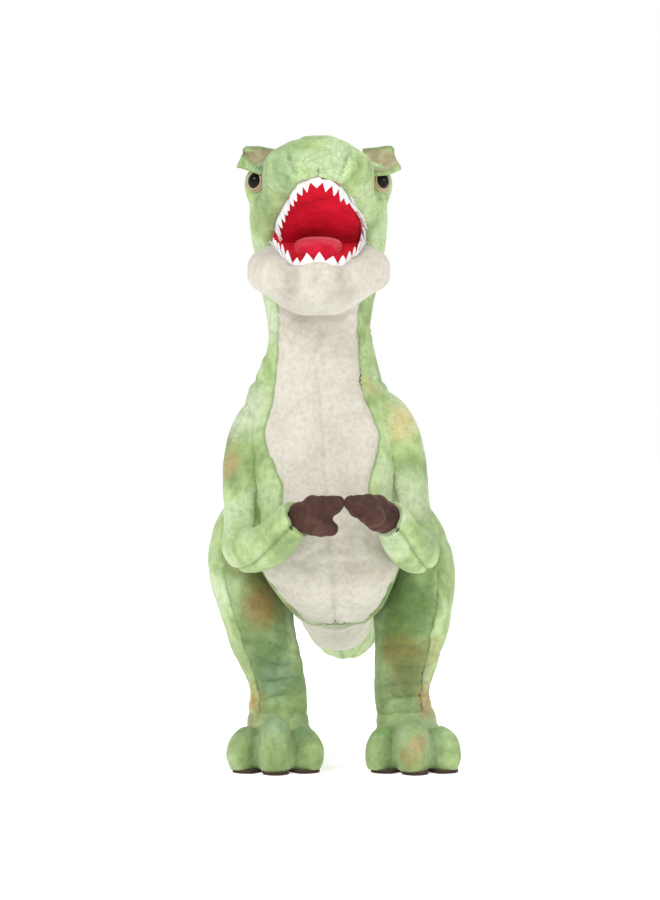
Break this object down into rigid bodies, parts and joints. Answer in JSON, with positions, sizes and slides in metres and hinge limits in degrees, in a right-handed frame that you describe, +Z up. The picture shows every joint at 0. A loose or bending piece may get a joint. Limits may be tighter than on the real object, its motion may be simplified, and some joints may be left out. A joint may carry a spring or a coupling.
{
  "type": "stuffed dinosaur",
  "caption": "Stuffed toy dinosaur that stands on two padded feet, mouth open, with a bending neck, jaw, arms, legs and tail.",
  "frame": {"origin": "middle of the overall box, on the plane that the soles stand on", "axes": "+Z up, the toy faces -Y, and its own left side is +X"},
  "size_m": [0.2443, 0.5027, 0.6011],
  "materials": {
    "green_plush": "short-pile plush, dyed in soft patches",
    "ivory_velour": "smooth short velour",
    "red_velour": "smooth short velour",
    "tongue_velour": "smooth short velour",
    "tan_velour": "smooth short velour",
    "brown_velour": "smooth short velour",
    "sole_velour": "dense short velour",
    "tooth_felt": "white felt",
    "eye_plastic": "gloss, with a coloured ring under a clear dome",
    "washer_plastic": "satin",
    "fibre_fill": "loose polyester fibre"
  },
  "bodies": {
    "torso": {"body_stuffing": "fibre_fill", "belly_panel_right": "ivory_velour", "belly_panel_left": "ivory_velour", "body_side_right": "green_plush", "body_side_left": "green_plush"},
    "neck": {"neck_stuffing": "fibre_fill", "throat_panel": "ivory_velour", "neck_side_right": "green_plush", "neck_side_left": "green_plush"},
    "head": {"head_stuffing": "fibre_fill", "snout_top": "green_plush", "palate_lining": "red_velour", "under_head_panel": "ivory_velour", "upper_teeth": "tooth_felt", "skull_side_right": "green_plush", "skull_side_left": "green_plush", "eye_patch_right": "tan_velour", "eye_patch_left": "tan_velour", "eye_right": "eye_plastic", "eye_left": "eye_plastic", "eye_washer_right": "washer_plastic", "eye_washer_left": "washer_plastic", "brow_flap_right": "green_plush", "brow_flap_left": "green_plush", "brow_lining_right": "tan_velour", "brow_lining_left": "tan_velour"},
    "jaw": {"jaw_stuffing": "fibre_fill", "chin_cover": "ivory_velour", "mouth_floor": "red_velour", "tongue": "tongue_velour", "lower_teeth": "tooth_felt"},
    "arm_right": {"arm_stuffing_right": "fibre_fill", "arm_outer_right": "green_plush", "arm_inner_right": "green_plush", "hand_right": "brown_velour"},
    "arm_left": {"arm_stuffing_left": "fibre_fill", "arm_outer_left": "green_plush", "arm_inner_left": "green_plush", "hand_left": "brown_velour"},
    "leg_right": {"leg_stuffing_right": "fibre_fill", "leg_outer_right": "green_plush", "leg_inner_right": "green_plush", "foot_top_right": "green_plush", "sole_right": "sole_velour"},
    "leg_left": {"leg_stuffing_left": "fibre_fill", "leg_outer_left": "green_plush", "leg_inner_left": "green_plush", "foot_top_left": "green_plush", "sole_left": "sole_velour"},
    "tail": {"tail_stuffing": "fibre_fill", "tail_underside": "ivory_velour", "tail_side_right": "green_plush", "tail_side_left": "green_plush"},
    "tail_tip": {"tail_tip_stuffing": "fibre_fill", "tail_tip_side_right": "green_plush", "tail_tip_side_left": "green_plush"}
  },
  "joints": [
    {"name": "neck_bend", "type": "hinge", "parent": "torso", "child": "neck", "pos_m": [-0.0136, -0.0793, 0.3965], "axis": [1, 0, 0], "range_deg": [-8, 8], "stiffness_Nm_per_rad": 6},
    {"name": "head_turn", "type": "hinge", "parent": "neck", "child": "head", "pos_m": [-0.0136, -0.0803, 0.447], "axis": [0, 0, 1], "range_deg": [-20, 20], "stiffness_Nm_per_rad": 2},
    {"name": "jaw_close", "type": "hinge", "parent": "head", "child": "jaw", "pos_m": [-0.0136, -0.1343, 0.509], "axis": [-1, 0, 0], "range_deg": [-5, 16], "stiffness_Nm_per_rad": 1},
    {"name": "shoulder_right", "type": "hinge", "parent": "torso", "child": "arm_right", "pos_m": [-0.09005, -0.0923, 0.305], "axis": [-1, 0, 0], "range_deg": [-2, 40], "stiffness_Nm_per_rad": 0.6},
    {"name": "shoulder_left", "type": "hinge", "parent": "torso", "child": "arm_left", "pos_m": [0.07195, -0.0923, 0.305], "axis": [-1, 0, 0], "range_deg": [-2, 40], "stiffness_Nm_per_rad": 0.6},
    {"name": "hip_right", "type": "hinge", "parent": "torso", "child": "leg_right", "pos_m": [-0.08505, -0.0503, 0.205], "axis": [1, 0, 0], "range_deg": [-6, 6], "stiffness_Nm_per_rad": 30},
    {"name": "hip_left", "type": "hinge", "parent": "torso", "child": "leg_left", "pos_m": [0.08095, -0.0503, 0.205], "axis": [1, 0, 0], "range_deg": [-6, 6], "stiffness_Nm_per_rad": 30},
    {"name": "tail_swing", "type": "hinge", "parent": "torso", "child": "tail", "pos_m": [-0.00086, 0.0237, 0.188], "axis": [0, 0, 1], "range_deg": [-11, 11], "stiffness_Nm_per_rad": 3},
    {"name": "tail_tip_swing", "type": "hinge", "parent": "tail", "child": "tail_tip", "pos_m": [0.01782, 0.1587, 0.114], "axis": [0, 0, 1], "range_deg": [-18, 18], "stiffness_Nm_per_rad": 0.6}
  ]
}
